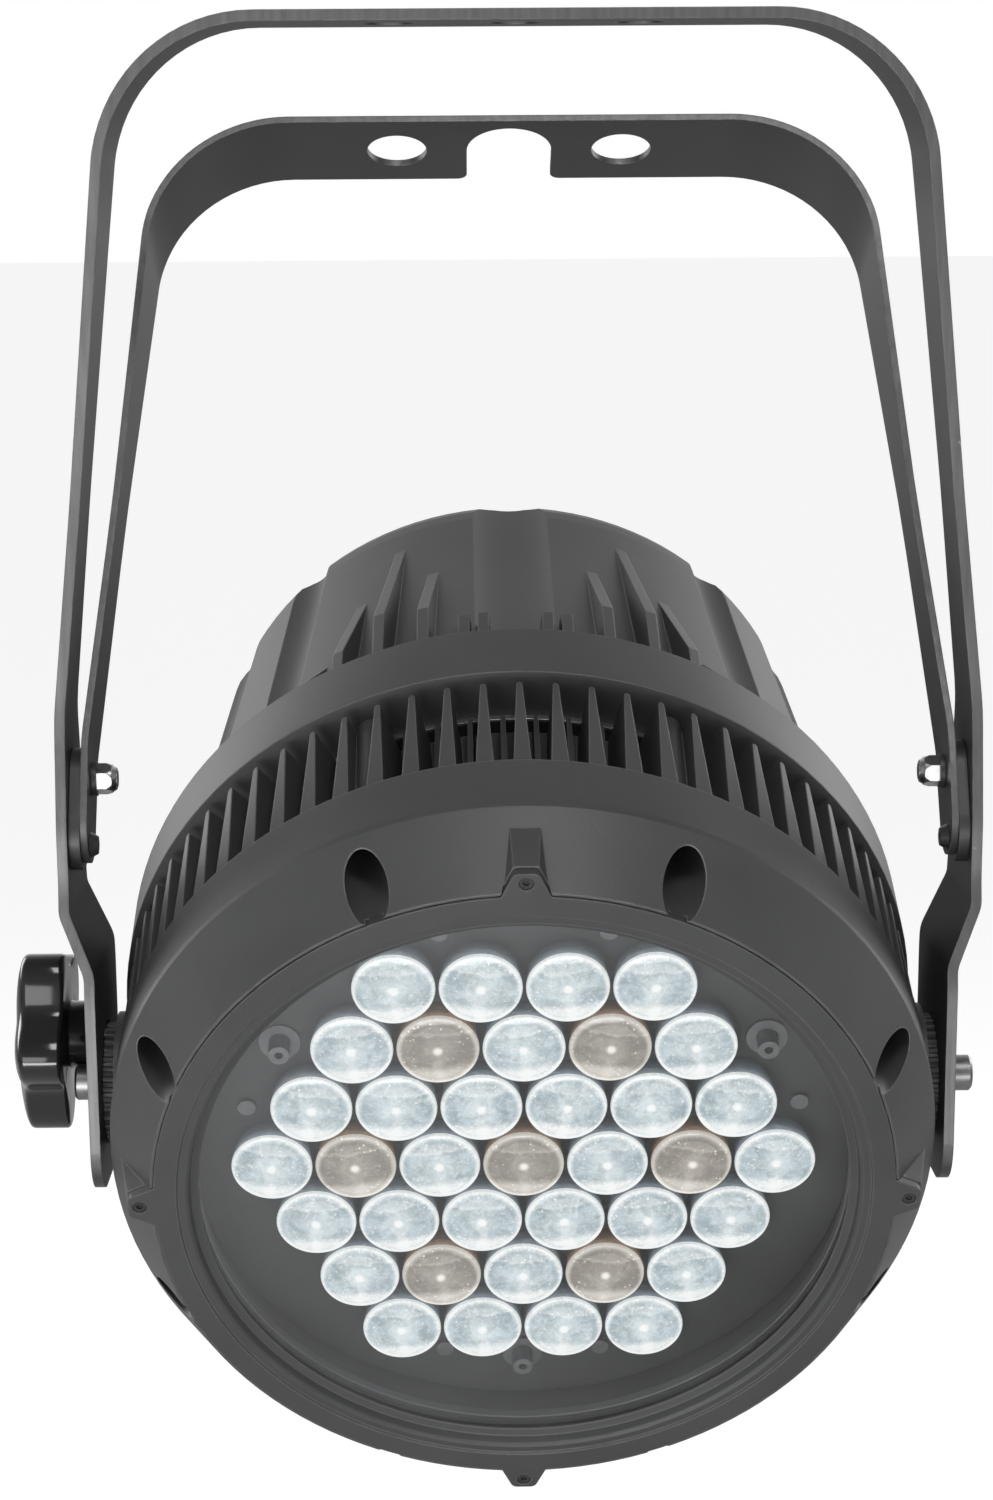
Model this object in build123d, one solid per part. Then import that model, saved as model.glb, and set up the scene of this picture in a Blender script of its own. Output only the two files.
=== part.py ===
from build123d import *
import math
import os

# ---------------------------------------------------------------------------
# LED par can with a zoom lens array, hung in a double yoke.
# Millimetres.  X across the yoke (lock knob on -X), front towards -Y, +Z up.
# Origin: middle of the centre clamp hole, halfway through the hanging yoke's
# bar.  Shapes are drawn from the tilt axis, which runs along X below it.
# The head is drawn in its own frame: +Z forward along the beam, +Y up.
# ---------------------------------------------------------------------------

# --- poses at rest, degrees ---------------------------------------------------
HEAD_TILT = 21.3          # beam below the horizontal
STAND_LEAN = 28.5         # stand yoke leans back from the hanging yoke

# --- hanging yoke -------------------------------------------------------------
YOKE_T = 3.0              # strip thickness
YOKE_TOP = 304.5          # outer face of the top bar
YOKE_X_PIVOT = 125.0      # outer face at the tilt pivot
YOKE_X_JOG = 132.0        # outer face above the jog
YOKE_END = 27.5           # foot of the arm below the tilt pivot
CLAMP_HOLE_D = 14.5
CLAMP_HOLE_X = 34.5
STAND_PIVOT_Z = 91.5
TILT_SLOT_R = 15.6        # arc slot for the lock stud, about the tilt axis
TILT_SLOT_FROM = -150.0   # degrees from straight up, + is to the front
TILT_SLOT_TO = 30.0
STAND_SLOT_R = 20.0       # arc slot for the stop screw, about the stand pivot
STAND_OPEN = 50.0         # degrees the stop slot spans
STUD_R = 2.5              # stand pivot stud
STUD_HEAD_R = 5.0
STUD_HEAD_T = 1.2
NUT_X = 122.05            # outer face of the lock nut

# outer side of one half of the strip: x, z, corner radius
YOKE_PATH = [
    (YOKE_X_PIVOT, -YOKE_END, 0), (YOKE_X_PIVOT, 38.5, 9), (YOKE_X_JOG, 56.0, 9),
    (YOKE_X_JOG, 112.0, 90), (111.5, YOKE_TOP, 45)]
# width of the strip up its length: half width, z, corner radius
YOKE_WIDTHS = [
    (27.5, -YOKE_END, 14), (27.5, 33, 30), (20.6, 64, 25), (20.6, 80, 30), (15.0, 112, 120),
    (12.2, 172, 160), (15.5, 243, 160), (17.0, 270, 60), (17.0, 330, 0)]

# --- stand yoke, upright about its own pivot ----------------------------------
STAND_T = 2.0
STAND_X = 125.6           # outer face at its pivot
STAND_TAPER = 0.0917
STAND_TOP = 204.0         # outer face of the bar above its pivot
STAND_HOLE_D = 18.3
STAND_HOLE_X = 34.5
STAND_NOTCH_R = 13.0
SPACER_X = 125.65         # inner face of the spacer
SPACER_T = 3.2
STOP_X = 123.6            # inner face of the arm, under the stop screw's head

# columns as for the hanging yoke
STAND_PATH = [
    (STAND_X, -26.0, 0), (STAND_X, 9.0, 60), (STAND_X - STAND_TAPER * STAND_TOP, STAND_TOP, 44)]
STAND_WIDTHS = [
    (11.0, -14, 0), (12.0, 0, 60), (9.6, 70, 60), (9.8, 88, 60), (14.5, 140, 120),
    (17.5, 172, 60), (17.5, 230, 0)]

# --- front housing and bezel --------------------------------------------------
BEZEL_Z = 57.75           # front face of the bezel
BEZEL_SEAT = 54.75        # its back face
BEZEL_R = 104.4
GLASS_Z = 52.3            # front face of the glass
GASKET_Z = 48.3           # front face of the gasket, back face of the glass
GASKET_SEAT = 47.3
DRUM_R = 118.6
FIN_Z0 = 12.2             # fin roots
FIN_Z1 = -30.0            # fin tips
FIN_COUNT = 72
FIN_W0 = 5.0              # width at the root
FIN_W1 = 1.7              # width at the tip
WALL_RI = 97.0
WALL_RO = 101.0
HOUSING_BACK = -31.0
HUB_R = 21.0
BUSH_R = 5.0
BUSH_X = 104.0            # inner end of the tilt bushes
STUD_END_X = 104.5        # inner end of the pivot bolts and the knob stud
DISC_X0, DISC_X1 = DRUM_R + 0.05, 121.9
KNOB_R = 28.0
KNOB_LOBES = 5
LOBE_DEPTH = 3.6          # half the height of the lobes
KNOB_T = 15.3
KNOB_X = -149.3           # outer face

# --- lens array and LED engine ------------------------------------------------
PITCH = 24.0              # lens pitch
LENS_R = 11.6
LENS_Z = 43.2             # front of the lens domes
MASK_Z = 33.0             # front of the lens mask
CARRIER_Z = 31.0          # front of the carrier, back of the mask
GUIDE_R = 79.0            # circle of the guide posts and the lead screw
ROD_R = 3.0               # guide posts and lead screw
ROD_FRONT = 40.0
ROD_BORE = 3.06
SINK_Z = 1.0              # front face of the heat sink
BOARD_Z = 3.0             # front face of the LED board

# --- rear cover and end panel -------------------------------------------------
BAND_Z0 = -34.0
BAND_Z1 = -59.5
BAND_R = 119.5
POT_R0 = 109.0            # foot of the rear pot
POT_R1 = 98.0             # just before the rounded rim
POT_Z0 = -58.0            # z of the foot radius
POT_RIM_Z = -172.0        # z where the rim begins
POT_Z1 = -187.0
POT_WALL = 3.6            # the casting's wall, also under the flutes
PANEL_R = 85.5
PANEL_Z = -183.0          # seat of the panel
PANEL_BACK = PANEL_Z - 2.5
DISPLAY_Y = 42
KEY_X = (-24.0, -8.0, 8.0, 24.0)
KEY_Y = 16.0
POWER_IN, POWER_OUT = (-46.0, -22.0), (46.0, -22.0)
DATA_IN, DATA_OUT = (-17.0, -52.0), (17.0, -52.0)
PIN_ANGLES = (18, 90, 162, 234, 306)
PIN_CIRCLE_R = 4.6
EYE = (0.0, 68.0)

SIDES = (-1, 1)


def polar(radius, degrees):
    return radius * math.cos(math.radians(degrees)), radius * math.sin(math.radians(degrees))


# places in the head's XY plane
POCKETS = [polar(110.0, 22.5 + 45 * k) for k in range(8)]
EARS = [polar(108.4, 90 * k) for k in range(4)]
POSTS = [polar(GUIDE_R, 30), polar(GUIDE_R, 150)]
LEAD = (0.0, -GUIDE_R)
PANEL_SCREWS = [polar(82.5, 30 + 60 * k) for k in range(6)]

# hexagonal array; the centre lens and the six at twice the pitch are warm
LENSES = []
for row in range(-3, 4):
    count = 7 - abs(row)
    for k in range(count):
        LENSES.append(((k - (count - 1) / 2) * PITCH, row * PITCH * math.sqrt(3) / 2))
WARM = [(0.0, 0.0)] + [p for p in LENSES if abs(math.hypot(*p) - 2 * PITCH) < 0.5]
COOL = [p for p in LENSES if p not in WARM]

# knob stud, 60 degrees behind straight up in the head's frame
STUD_Y = TILT_SLOT_R * math.cos(math.radians(60))
STUD_Z = -TILT_SLOT_R * math.sin(math.radians(60))

TO_ORIGIN = Pos(0, 0, -(YOKE_TOP - YOKE_T / 2))   # from the tilt axis to the origin
HEAD = Rot(X=90 + HEAD_TILT)
STAND = Pos(0, 0, STAND_PIVOT_Z) * Rot(X=-STAND_LEAN)
KNOB = HEAD * Pos(0, STUD_Y, STUD_Z)

os.makedirs("parts", exist_ok=True)


def save(name, shapes, where=Pos(0, 0, 0)):
    """One STEP per node; several shapes stay separate solids."""
    if not isinstance(shapes, list):
        shapes = [shapes]
    solids = [s.moved(TO_ORIGIN * where) for shape in shapes for s in shape.solids()]
    node = solids[0] if len(solids) == 1 else Compound(children=solids)
    export_step(node, f"parts/{name}.step")


# ===========================================================================
# Shape helpers
# ===========================================================================
def polygon_face(points):
    return Face(Wire.make_polygon(points, close=True))


def rounded_face(points, radii):
    """Closed outline of straight lines with an arc of its own radius at each corner."""
    corners = [Vector(*p) for p in points]
    count = len(corners)
    arcs = []                                  # start, middle, end
    for i, (corner, radius) in enumerate(zip(corners, radii)):
        if radius <= 0:
            arcs.append((corner, None, corner))
            continue
        back = (corners[i - 1] - corner).normalized()
        ahead = (corners[(i + 1) % count] - corner).normalized()
        half = math.acos(back.dot(ahead)) / 2
        reach = radius / math.tan(half)
        centre = corner + (back + ahead).normalized() * (radius / math.sin(half))
        middle = centre + (corner - centre).normalized() * radius
        arcs.append((corner + back * reach, middle, corner + ahead * reach))
    edges = []
    for i, (start, middle, end) in enumerate(arcs):
        if middle is not None:
            edges.append(ThreePointArc(start, middle, end).edge())
        following = arcs[(i + 1) % count][0]
        if (following - end).length > 1e-6:
            edges.append(Line(end, following).edge())
    return Face(Wire(edges))


def extrude_x(face, x0, x1):
    lo, hi = sorted((x0, x1))
    return Pos(lo, 0, 0) * extrude(face, amount=hi - lo, dir=(1, 0, 0))


def extrude_y(face, lo, hi):
    return Pos(0, lo, 0) * extrude(face, amount=hi - lo, dir=(0, 1, 0))


def x_cyl(radius, x0, x1, y=0.0, z=0.0):
    lo, hi = sorted((x0, x1))
    return Pos((lo + hi) / 2, y, z) * Rot(Y=90) * Cylinder(radius, hi - lo)


def z_cyl(radius, z0, z1, x=0.0, y=0.0):
    lo, hi = sorted((z0, z1))
    return Pos(x, y, (lo + hi) / 2) * Cylinder(radius, hi - lo)


def ring(outer, inner, z0, z1, x=0.0, y=0.0):
    lo, hi = sorted((z0, z1))
    return z_cyl(outer, lo, hi, x, y) - z_cyl(inner, lo - 1, hi + 1, x, y)


def cone(bottom, top, height):
    """Cone standing on z = 0."""
    return Cone(bottom, top, height, align=(Align.CENTER, Align.CENTER, Align.MIN))


def hex_prism(radius, height):
    return extrude(RegularPolygon(radius, 6), amount=height)


def lathe(points):
    """Solid of revolution about Z from (radius, z) points."""
    return revolve(polygon_face([(r, 0, z) for r, z in points]), Axis.Z)


def offset_path(points, distance):
    """Points of the parallel path to the right of each leg."""
    normals = []
    for (x0, z0), (x1, z1) in zip(points, points[1:]):
        length = math.hypot(x1 - x0, z1 - z0)
        normals.append(((z1 - z0) / length, (x0 - x1) / length))
    result = []
    for i, (x, z) in enumerate(points):
        ax, az = normals[max(i - 1, 0)]
        bx, bz = normals[min(i, len(normals) - 1)]
        scale = distance / (1 + ax * bx + az * bz)
        result.append((x + (ax + bx) * scale, z + (az + bz) * scale))
    return result


def strap(stations, thickness):
    """Bent strip, symmetric about x = 0; stations give the outer side of one half."""
    path = [(-x, z) for x, z, _ in stations] + [(x, z) for x, z, _ in reversed(stations)]
    radii = [r for _, _, r in stations]
    radii += reversed(radii)
    inner_radii = [0]
    for i in range(1, len(path) - 1):
        (x0, z0), (x1, z1), (x2, z2) = path[i - 1:i + 2]
        turns_right = (x1 - x0) * (z2 - z1) - (z1 - z0) * (x2 - x1) < 0
        inner_radii.append(radii[i] - thickness if turns_right else radii[i] + thickness)
    inner_radii.append(0)
    outline = path + offset_path(path, thickness)[::-1]
    face = rounded_face([(x, 0, z) for x, z in outline], radii + inner_radii[::-1])
    return extrude_y(face, -40, 40)


def side_slab(stations):
    """Block across both arms with the side outline of a strip."""
    points = [(0, -w, z) for w, z, _ in stations] + [(0, w, z) for w, z, _ in reversed(stations)]
    radii = [r for _, _, r in stations]
    return extrude_x(rounded_face(points, radii + radii[::-1]), -160, 160)


def arc_slot(radius, half_width, start, end, x0, x1, axis_z=0.0):
    """Slot through an arm about an axis along X; angles from up, + to the front."""
    def point(r, angle):
        a = math.radians(angle)
        return (0, -r * math.sin(a), axis_z + r * math.cos(a))

    def cap(angle, sign):
        a = math.radians(angle)
        _, y, z = point(radius, angle)
        reach = sign * half_width
        return (0, y - math.cos(a) * reach, z - math.sin(a) * reach)

    mid = (start + end) / 2
    outer, inner = radius + half_width, radius - half_width
    wire = Wire([
        ThreePointArc(point(outer, start), point(outer, mid), point(outer, end)).edge(),
        ThreePointArc(point(outer, end), cap(end, 1), point(inner, end)).edge(),
        ThreePointArc(point(inner, end), point(inner, mid), point(inner, start)).edge(),
        ThreePointArc(point(inner, start), cap(start, -1), point(outer, start)).edge(),
    ])
    return extrude_x(Face(wire), x0, x1)


# ===========================================================================
# Hanging yoke: one bent steel strip, with the studs that carry the stand yoke
# ===========================================================================
def main_yoke():
    yoke = strap(YOKE_PATH, YOKE_T) & side_slab(YOKE_WIDTHS)
    for x in (-CLAMP_HOLE_X, 0, CLAMP_HOLE_X):
        yoke -= z_cyl(CLAMP_HOLE_D / 2, YOKE_TOP - 10, YOKE_TOP + 10, x)
    yoke -= x_cyl(3.02, -140, 140)
    yoke -= arc_slot(TILT_SLOT_R, 3.3, TILT_SLOT_FROM, TILT_SLOT_TO, -130, -118)
    for s in SIDES:
        yoke -= x_cyl(STUD_R, s * 120, s * 140, 0, STAND_PIVOT_Z)
        yoke -= x_cyl(STUD_HEAD_R, s * (YOKE_X_JOG - STUD_HEAD_T), s * 140, 0, STAND_PIVOT_Z)
        yoke -= arc_slot(STAND_SLOT_R, 2.06, 180 - STAND_OPEN, 180, s * 126, s * 136,
                         STAND_PIVOT_Z)
    return yoke


def pivot_stud(s):
    """Stud whose head is flush with the yoke's outer face."""
    shank = x_cyl(STUD_R, s * 116.2, s * YOKE_X_JOG, 0, STAND_PIVOT_Z)
    head_x = YOKE_X_JOG - STUD_HEAD_T
    return shank + x_cyl(STUD_HEAD_R, s * head_x, s * YOKE_X_JOG, 0, STAND_PIVOT_Z)


def lock_nut(s):
    """Chamfered hexagon, 8 across flats, with a collar facing inward."""
    nut = hex_prism(8.0 / math.sqrt(3), 4.4) & cone(5.4, 3.6, 6.0)
    nut = nut + Pos(0, 0, 4.4) * cone(3.95, 3.2, 1.2) - Cylinder(STUD_R, 30)
    return Pos(s * NUT_X, 0, STAND_PIVOT_Z) * Rot(Y=-90 * s) * nut


def stand_washer(s):
    disc = x_cyl(5.0, s * NUT_X, s * (NUT_X + 1.5), 0, STAND_PIVOT_Z)
    return disc - x_cyl(2.52, 0, s * 140, 0, STAND_PIVOT_Z)


save("main_yoke", main_yoke())
save("stand_pivot_studs", [pivot_stud(s) for s in SIDES])
save("stand_lock_nuts", [lock_nut(s) for s in SIDES])
save("stand_washers", [stand_washer(s) for s in SIDES])


# ===========================================================================
# Stand yoke, drawn upright about its own pivot and then leaned back
# ===========================================================================
def stand_notch():
    """Round-ended notch in the bar's back edge, its mouth flared by two arcs."""
    r = STAND_NOTCH_R
    notch = Pos(0, 15, STAND_TOP) * Box(2 * r, 30, 20)
    notch += z_cyl(r, STAND_TOP - 10, STAND_TOP + 10)
    for s in SIDES:
        lip = Pos(s * (r + 1.5), 16.5, STAND_TOP) * Box(3.0, 4.0, 20)
        lip -= z_cyl(3.0, STAND_TOP - 12, STAND_TOP + 12, s * (r + 3.0), 14.5)
        notch += lip
    return notch


def stand_yoke():
    outline = side_slab(STAND_WIDTHS)
    outline += x_cyl(11.0, -160, 160, 0, -14)          # round foot
    stand = strap(STAND_PATH, STAND_T) & outline
    for x in (-STAND_HOLE_X, STAND_HOLE_X):
        stand -= z_cyl(STAND_HOLE_D / 2, STAND_TOP - 10, STAND_TOP + 10, x)
    stand -= stand_notch()
    stand -= x_cyl(2.55, -140, 140)
    stand -= x_cyl(2.0, -140, 140, 0, -STAND_SLOT_R)
    return stand


def stand_spacer(s):
    corners = [(0, -10.5, -27), (0, 10.5, -27), (0, 10.5, 9), (0, -10.5, 9)]
    pad = extrude_x(rounded_face(corners, [10.4] * 4), s * SPACER_X, s * (SPACER_X + SPACER_T))
    pad -= x_cyl(2.6, s * 120, s * 130)
    pad -= x_cyl(2.01, s * 120, s * 130, 0, -STAND_SLOT_R)
    return pad


def stop_screw(s):
    shank = x_cyl(2.0, s * STOP_X, s * 131.4, 0, -STAND_SLOT_R)
    head = cone(3.8, 2.6, 2.2) - Pos(0, 0, 1.0) * hex_prism(1.45, 3)
    return shank + Pos(s * STOP_X, 0, -STAND_SLOT_R) * Rot(Y=-90 * s) * head


save("stand_yoke", stand_yoke(), STAND)
save("stand_spacers", [stand_spacer(s) for s in SIDES], STAND)
save("stand_stop_screws", [stop_screw(s) for s in SIDES], STAND)


# ===========================================================================
# Tilt pivot bolts (fixed in the yoke)
# ===========================================================================
def left_pivot_bolt():
    head = z_cyl(5.2, 0, 6.2) + Pos(0, 0, 6.2) * cone(5.2, 4.6, 0.6)
    head -= Pos(0, 0, 3.4) * hex_prism(2.85, 5)
    shank = x_cyl(3.0, -YOKE_X_PIVOT, -STUD_END_X)
    return shank + Pos(-YOKE_X_PIVOT, 0, 0) * Rot(Y=-90) * head


def right_pivot_bolt():
    """Flanged bolt; the hexagon is a closed cavity inside its head."""
    head = z_cyl(8.0, 0, 1.6) + z_cyl(5.3, 1.6, 8.2) + Pos(0, 0, 8.2) * cone(5.3, 4.5, 0.8)
    head -= Pos(0, 0, 2.0) * hex_prism(2.9, 3)
    shank = x_cyl(3.0, STUD_END_X, YOKE_X_PIVOT)
    return shank + Pos(YOKE_X_PIVOT, 0, 0) * Rot(Y=90) * head


save("tilt_pivot_bolts", [left_pivot_bolt(), right_pivot_bolt()])

# ===========================================================================
# Head: front housing casting
# ===========================================================================
# radius, z: wall, drum, ridge, front cone, then the steps for bezel and gasket
HOUSING_PROFILE = [
    (WALL_RI, HOUSING_BACK), (WALL_RO, HOUSING_BACK), (WALL_RO, FIN_Z0), (DRUM_R, FIN_Z0),
    (DRUM_R, 33.2), (118.2, 35.0), (105.2, 57.25), (BEZEL_R + 0.15, 57.25),
    (BEZEL_R + 0.15, BEZEL_SEAT), (96.5, BEZEL_SEAT), (96.5, GASKET_SEAT), (92.5, GASKET_SEAT),
    (92.5, 44.5), (WALL_RI, 42.0)]


def long_fin():
    root, tip = FIN_W0 / 2, FIN_W1 / 2
    face = polygon_face([
        (-root, 0, FIN_Z0 + 1), (root, 0, FIN_Z0 + 1), (tip, 0, FIN_Z1 + 0.8),
        (tip - 0.45, 0, FIN_Z1), (-tip + 0.45, 0, FIN_Z1), (-tip, 0, FIN_Z1 + 0.8)])
    return extrude_y(face, WALL_RO - 1.0, DRUM_R - 0.4)


def short_fin():
    face = polygon_face([
        (-1.0, 0, FIN_Z0 + 1), (1.0, 0, FIN_Z0 + 1), (0.7, 0, FIN_Z1 + 1), (-0.7, 0, FIN_Z1 + 1)])
    return extrude_y(face, WALL_RO - 1.0, 108.0)


def ear_points(base, shoulder, tip, z=0):
    """Outline of an ear on +Y; each argument is (half width, y)."""
    right = [(x, y, z) for x, y in (base, shoulder, tip)]
    left = [(-x, y, z) for x, y in (base, shoulder, tip)]
    return [left[0], *right, left[2], left[1]]


def ear_boss():
    """Boss growing out of the cone behind a bezel ear."""
    front = ear_points((7.1, 101), (6.9, 104), (3.4, 111.9), BEZEL_SEAT)
    back = ear_points((9.2, 101), (9.0, 104), (4.6, 116.2), 34.0)
    return Solid.make_loft([Wire.make_polygon(p, close=True) for p in (front, back)], True)


def ear_recess():
    points = ear_points((6.95, 102.5), (6.95, 104.1), (3.5, 111.75))
    return Pos(0, 0, BEZEL_SEAT) * extrude(rounded_face(points, [0, 0, 0, 1.5, 1.5, 0]), amount=6)


def front_housing():
    added = [x_cyl(HUB_R, s * (WALL_RI + 3.5), s * DRUM_R) for s in SIDES]
    long, short = long_fin(), short_fin()
    step = 360.0 / FIN_COUNT
    for i in range(FIN_COUNT):
        added.append(Rot(Z=-i * step) * long)
        between = i * step + step / 2
        if abs(between % 45 - 22.5) >= 1.0:            # no short fin at a screw column
            added.append(Rot(Z=-between) * short)
    added += [z_cyl(4.2, HOUSING_BACK, FIN_Z0 + 1, *p) for p in POCKETS]
    boss = ear_boss()
    added += [Rot(Z=90 * k) * boss for k in range(4)]

    cuts = []
    recess = ear_recess()
    for k, place in enumerate(EARS):
        cuts.append(Rot(Z=90 * k) * recess)
        cuts.append(z_cyl(1.52, 43, 56, *place))
    for place in POCKETS:
        cuts.append(z_cyl(6.0, 16, 60, *place))
        cuts.append(z_cyl(2.2, -32, 17, *place))
    cuts += [x_cyl(BUSH_R, s * BUSH_X, s * 120) for s in SIDES]
    cuts.append(x_cyl(3.05, -103.5, -120, STUD_Y, STUD_Z))
    body = lathe(HOUSING_PROFILE) + added - cuts
    # nothing of the fins or bosses may stand inside the lens chamber
    return body - z_cyl(WALL_RI, -32, 42)


def housing_screw(x, y):
    screw = z_cyl(2.0, -46.5, 16.0, x, y) + z_cyl(3.5, 16.0, 20.0, x, y)
    return screw - Pos(x, y, 18.0) * hex_prism(1.75, 3)


save("front_housing", front_housing(), HEAD)
save("housing_screws", [housing_screw(*p) for p in POCKETS], HEAD)

# --- bezel, glass, gasket -----------------------------------------------------
BEZEL_PROFILE = [                                      # radius, z
    (BEZEL_R - 0.05, BEZEL_Z), (98.0, BEZEL_Z), (97.6, 56.95), (95.5, 56.95), (94.7, 56.3),
    (94.2, 53.7), (91.9, 53.1), (91.9, GLASS_Z), (96.3, GLASS_Z), (96.3, BEZEL_SEAT),
    (BEZEL_R - 0.05, BEZEL_SEAT)]
BEZEL_SCREW_SEAT = 56.2


def bezel_ring():
    points = ear_points((6.75, 102.5), (6.75, 104.0), (3.3, 111.5))
    face = rounded_face(points, [0, 0, 0, 2.2, 2.2, 0])
    ear = Pos(0, 0, BEZEL_SEAT) * extrude(face, amount=BEZEL_Z - BEZEL_SEAT)
    bezel = lathe(BEZEL_PROFILE) + [Rot(Z=90 * k) * ear for k in range(4)]
    bezel = bezel - [z_cyl(1.6, 50, 60, *p) for p in EARS]
    return bezel - [z_cyl(2.05, BEZEL_SCREW_SEAT, 60, *p) for p in EARS]


def bezel_screw(x, y):
    screw = z_cyl(1.5, 44.0, BEZEL_SCREW_SEAT, x, y)
    screw += z_cyl(1.95, BEZEL_SCREW_SEAT, 57.45, x, y)
    return screw - Pos(x, y, 56.7) * hex_prism(0.95, 2)


save("bezel_ring", bezel_ring(), HEAD)
save("bezel_screws", [bezel_screw(*p) for p in EARS], HEAD)
save("front_glass", z_cyl(96.0, GASKET_Z, GLASS_Z), HEAD)
save("glass_gasket", ring(96.4, 93.0, GASKET_SEAT, GASKET_Z), HEAD)


# --- tilt bushes and friction discs -------------------------------------------
def tilt_bush(s):
    return x_cyl(BUSH_R, s * BUSH_X, s * DRUM_R) - x_cyl(3.05, s * 100, s * 125)


def friction_disc(s):
    teeth = [x_cyl(0.9, s * DISC_X0, s * DISC_X1, *polar(17.1, 10 * i)) for i in range(36)]
    disc = x_cyl(17.2, s * DISC_X0, s * DISC_X1) + teeth
    disc -= x_cyl(3.1, s * 110, s * 130)
    if s < 0:
        # hole for the knob stud, opened to the rim
        disc -= x_cyl(3.4, -110, -130, STUD_Y, STUD_Z)
        disc -= Pos(-120, STUD_Y * 1.12, STUD_Z * 1.12) * Rot(X=-60) * Box(6, 6.8, 4.5)
        disc = max(disc.solids(), key=lambda q: q.volume)
    return disc


save("tilt_bushes", [tilt_bush(s) for s in SIDES], HEAD)
save("friction_discs", [friction_disc(s) for s in SIDES], HEAD)

# --- lock knob, about its own axis --------------------------------------------
KNOB_PROFILE = [                                       # x from the outer face, radius
    (0, 0), (0, 12.0), (1.6, 19.0), (3.6, 24.5), (5.4, KNOB_R - 0.6), (6.4, KNOB_R + 0.4),
    (14.3, KNOB_R + 0.4), (KNOB_T, KNOB_R - 0.8), (KNOB_T, 0)]


def tilt_knob():
    """Lobed prism with a domed outer face, eased edges and an inner collar."""
    points = []
    count = 120
    for i in range(count):
        t = 2 * math.pi * i / count
        r = KNOB_R - LOBE_DEPTH + LOBE_DEPTH * math.cos(KNOB_LOBES * t)
        points.append((0, r * math.cos(t), r * math.sin(t)))
    star = Face(Wire([Spline(points, periodic=True).edge()]))
    dome = revolve(polygon_face([(x, r, 0) for x, r in KNOB_PROFILE]), Axis.X)
    knob = extrude_x(star, 0, KNOB_T) & dome
    knob = Pos(KNOB_X, 0, 0) * knob + x_cyl(10.0, KNOB_X + KNOB_T, -126.3)
    return knob - x_cyl(3.0, -144, -120)


save("tilt_knob", tilt_knob(), KNOB)
save("knob_stud", x_cyl(3.0, -144, -STUD_END_X), KNOB)
save("knob_washer", x_cyl(9.6, -126.28, -125.03) - x_cyl(3.02, -130, -120), KNOB)


# ===========================================================================
# Heat sink and LED engine
# ===========================================================================
def heat_sink():
    sink = z_cyl(96.8, -9, SINK_Z) + ring(96.8, 93.5, -34.0, -9) + ring(105.0, 93.5, -34.0, -31.9)
    fins = []
    for i in range(-9, 10):
        x = i * 9.0
        chord = 2 * math.sqrt(91.0 ** 2 - x * x)
        fins.append(Pos(x, 0, -29.5) * Box(1.8, chord, 41.4))
    sink = sink + fins
    sink -= Pos(*LEAD, -35) * Box(31, 31, 51.9)        # room for the motor
    sink -= z_cyl(3.5, -20, 5, *LEAD)
    for place in POSTS:
        sink -= z_cyl(ROD_R, -7, 5, *place)
    return max(sink.solids(), key=lambda q: q.volume)


def led_board():
    board = z_cyl(90.0, SINK_Z, BOARD_Z)
    for place in POSTS + [LEAD]:
        board -= z_cyl(4.2, 0, 5, *place)
    return board


def emitter(x, y):
    return Pos(x, y, 3.6) * Box(6, 6, 1.2) + z_cyl(2.4, 4.2, 5.2, x, y)


save("heat_sink", heat_sink(), HEAD)
save("sink_seal", ring(104.8, 98.0, -31.85, -31.05), HEAD)
save("led_board", led_board(), HEAD)
save("led_emitters", [emitter(*p) for p in LENSES], HEAD)
save("led_board_screws", [
    z_cyl(2.75, BOARD_Z, 4.9, *polar(84, a)) for a in range(0, 360, 60)], HEAD)

# --- zoom carrier, mask and lenses --------------------------------------------
LENS_PROFILE = [                                       # radius, z
    (0, LENS_Z), (4.0, LENS_Z - 0.22), (7.6, LENS_Z - 0.8), (10.2, LENS_Z - 1.5),
    (11.3, LENS_Z - 2.0), (LENS_R, LENS_Z - 2.6), (LENS_R, LENS_Z - 3.6), (11.1, MASK_Z),
    (8.8, MASK_Z), (8.8, 24.5), (0, 24.5)]
MASK_SCREWS = [                                        # radius, degrees
    (80, 73), (80, 107), (80.5, 12), (80.5, 168), (80, -73), (80, -107)]


def flanged_bush(back_z, x, y):
    return (ring(5.0, ROD_BORE, back_z, MASK_Z, x, y)
            + ring(5.9, ROD_BORE, MASK_Z, MASK_Z + 1.0, x, y))


def rod(back_z, x, y):
    """Guide post or lead screw with a blind hole in its front end."""
    return z_cyl(ROD_R, back_z, ROD_FRONT, x, y) - z_cyl(1.2, 37, 41, x, y)


carrier_holes = [z_cyl(8.85, 20, 40, *p) for p in LENSES]
carrier_holes += [z_cyl(5.0, 20, 40, *p) for p in POSTS + [LEAD]]
lens = lathe(LENS_PROFILE)
save("lens_carrier", z_cyl(94.0, 27.0, CARRIER_Z) - carrier_holes, HEAD)
save("lens_mask", z_cyl(95.6, CARRIER_Z, MASK_Z) - carrier_holes, HEAD)
save("lenses_cool", [Pos(*p, 0) * lens for p in COOL], HEAD)
save("lenses_warm", [Pos(*p, 0) * lens for p in WARM], HEAD)
save("zoom_bushes", [flanged_bush(24.0, *p) for p in POSTS], HEAD)
save("zoom_nut", flanged_bush(22.0, *LEAD) + ring(8.0, ROD_BORE, 24.0, 27.0, *LEAD), HEAD)
save("mask_screws", [z_cyl(2.6, MASK_Z, MASK_Z + 1.5, *polar(*p)) for p in MASK_SCREWS], HEAD)
save("guide_posts", [rod(-6.9, *p) for p in POSTS], HEAD)
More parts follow.
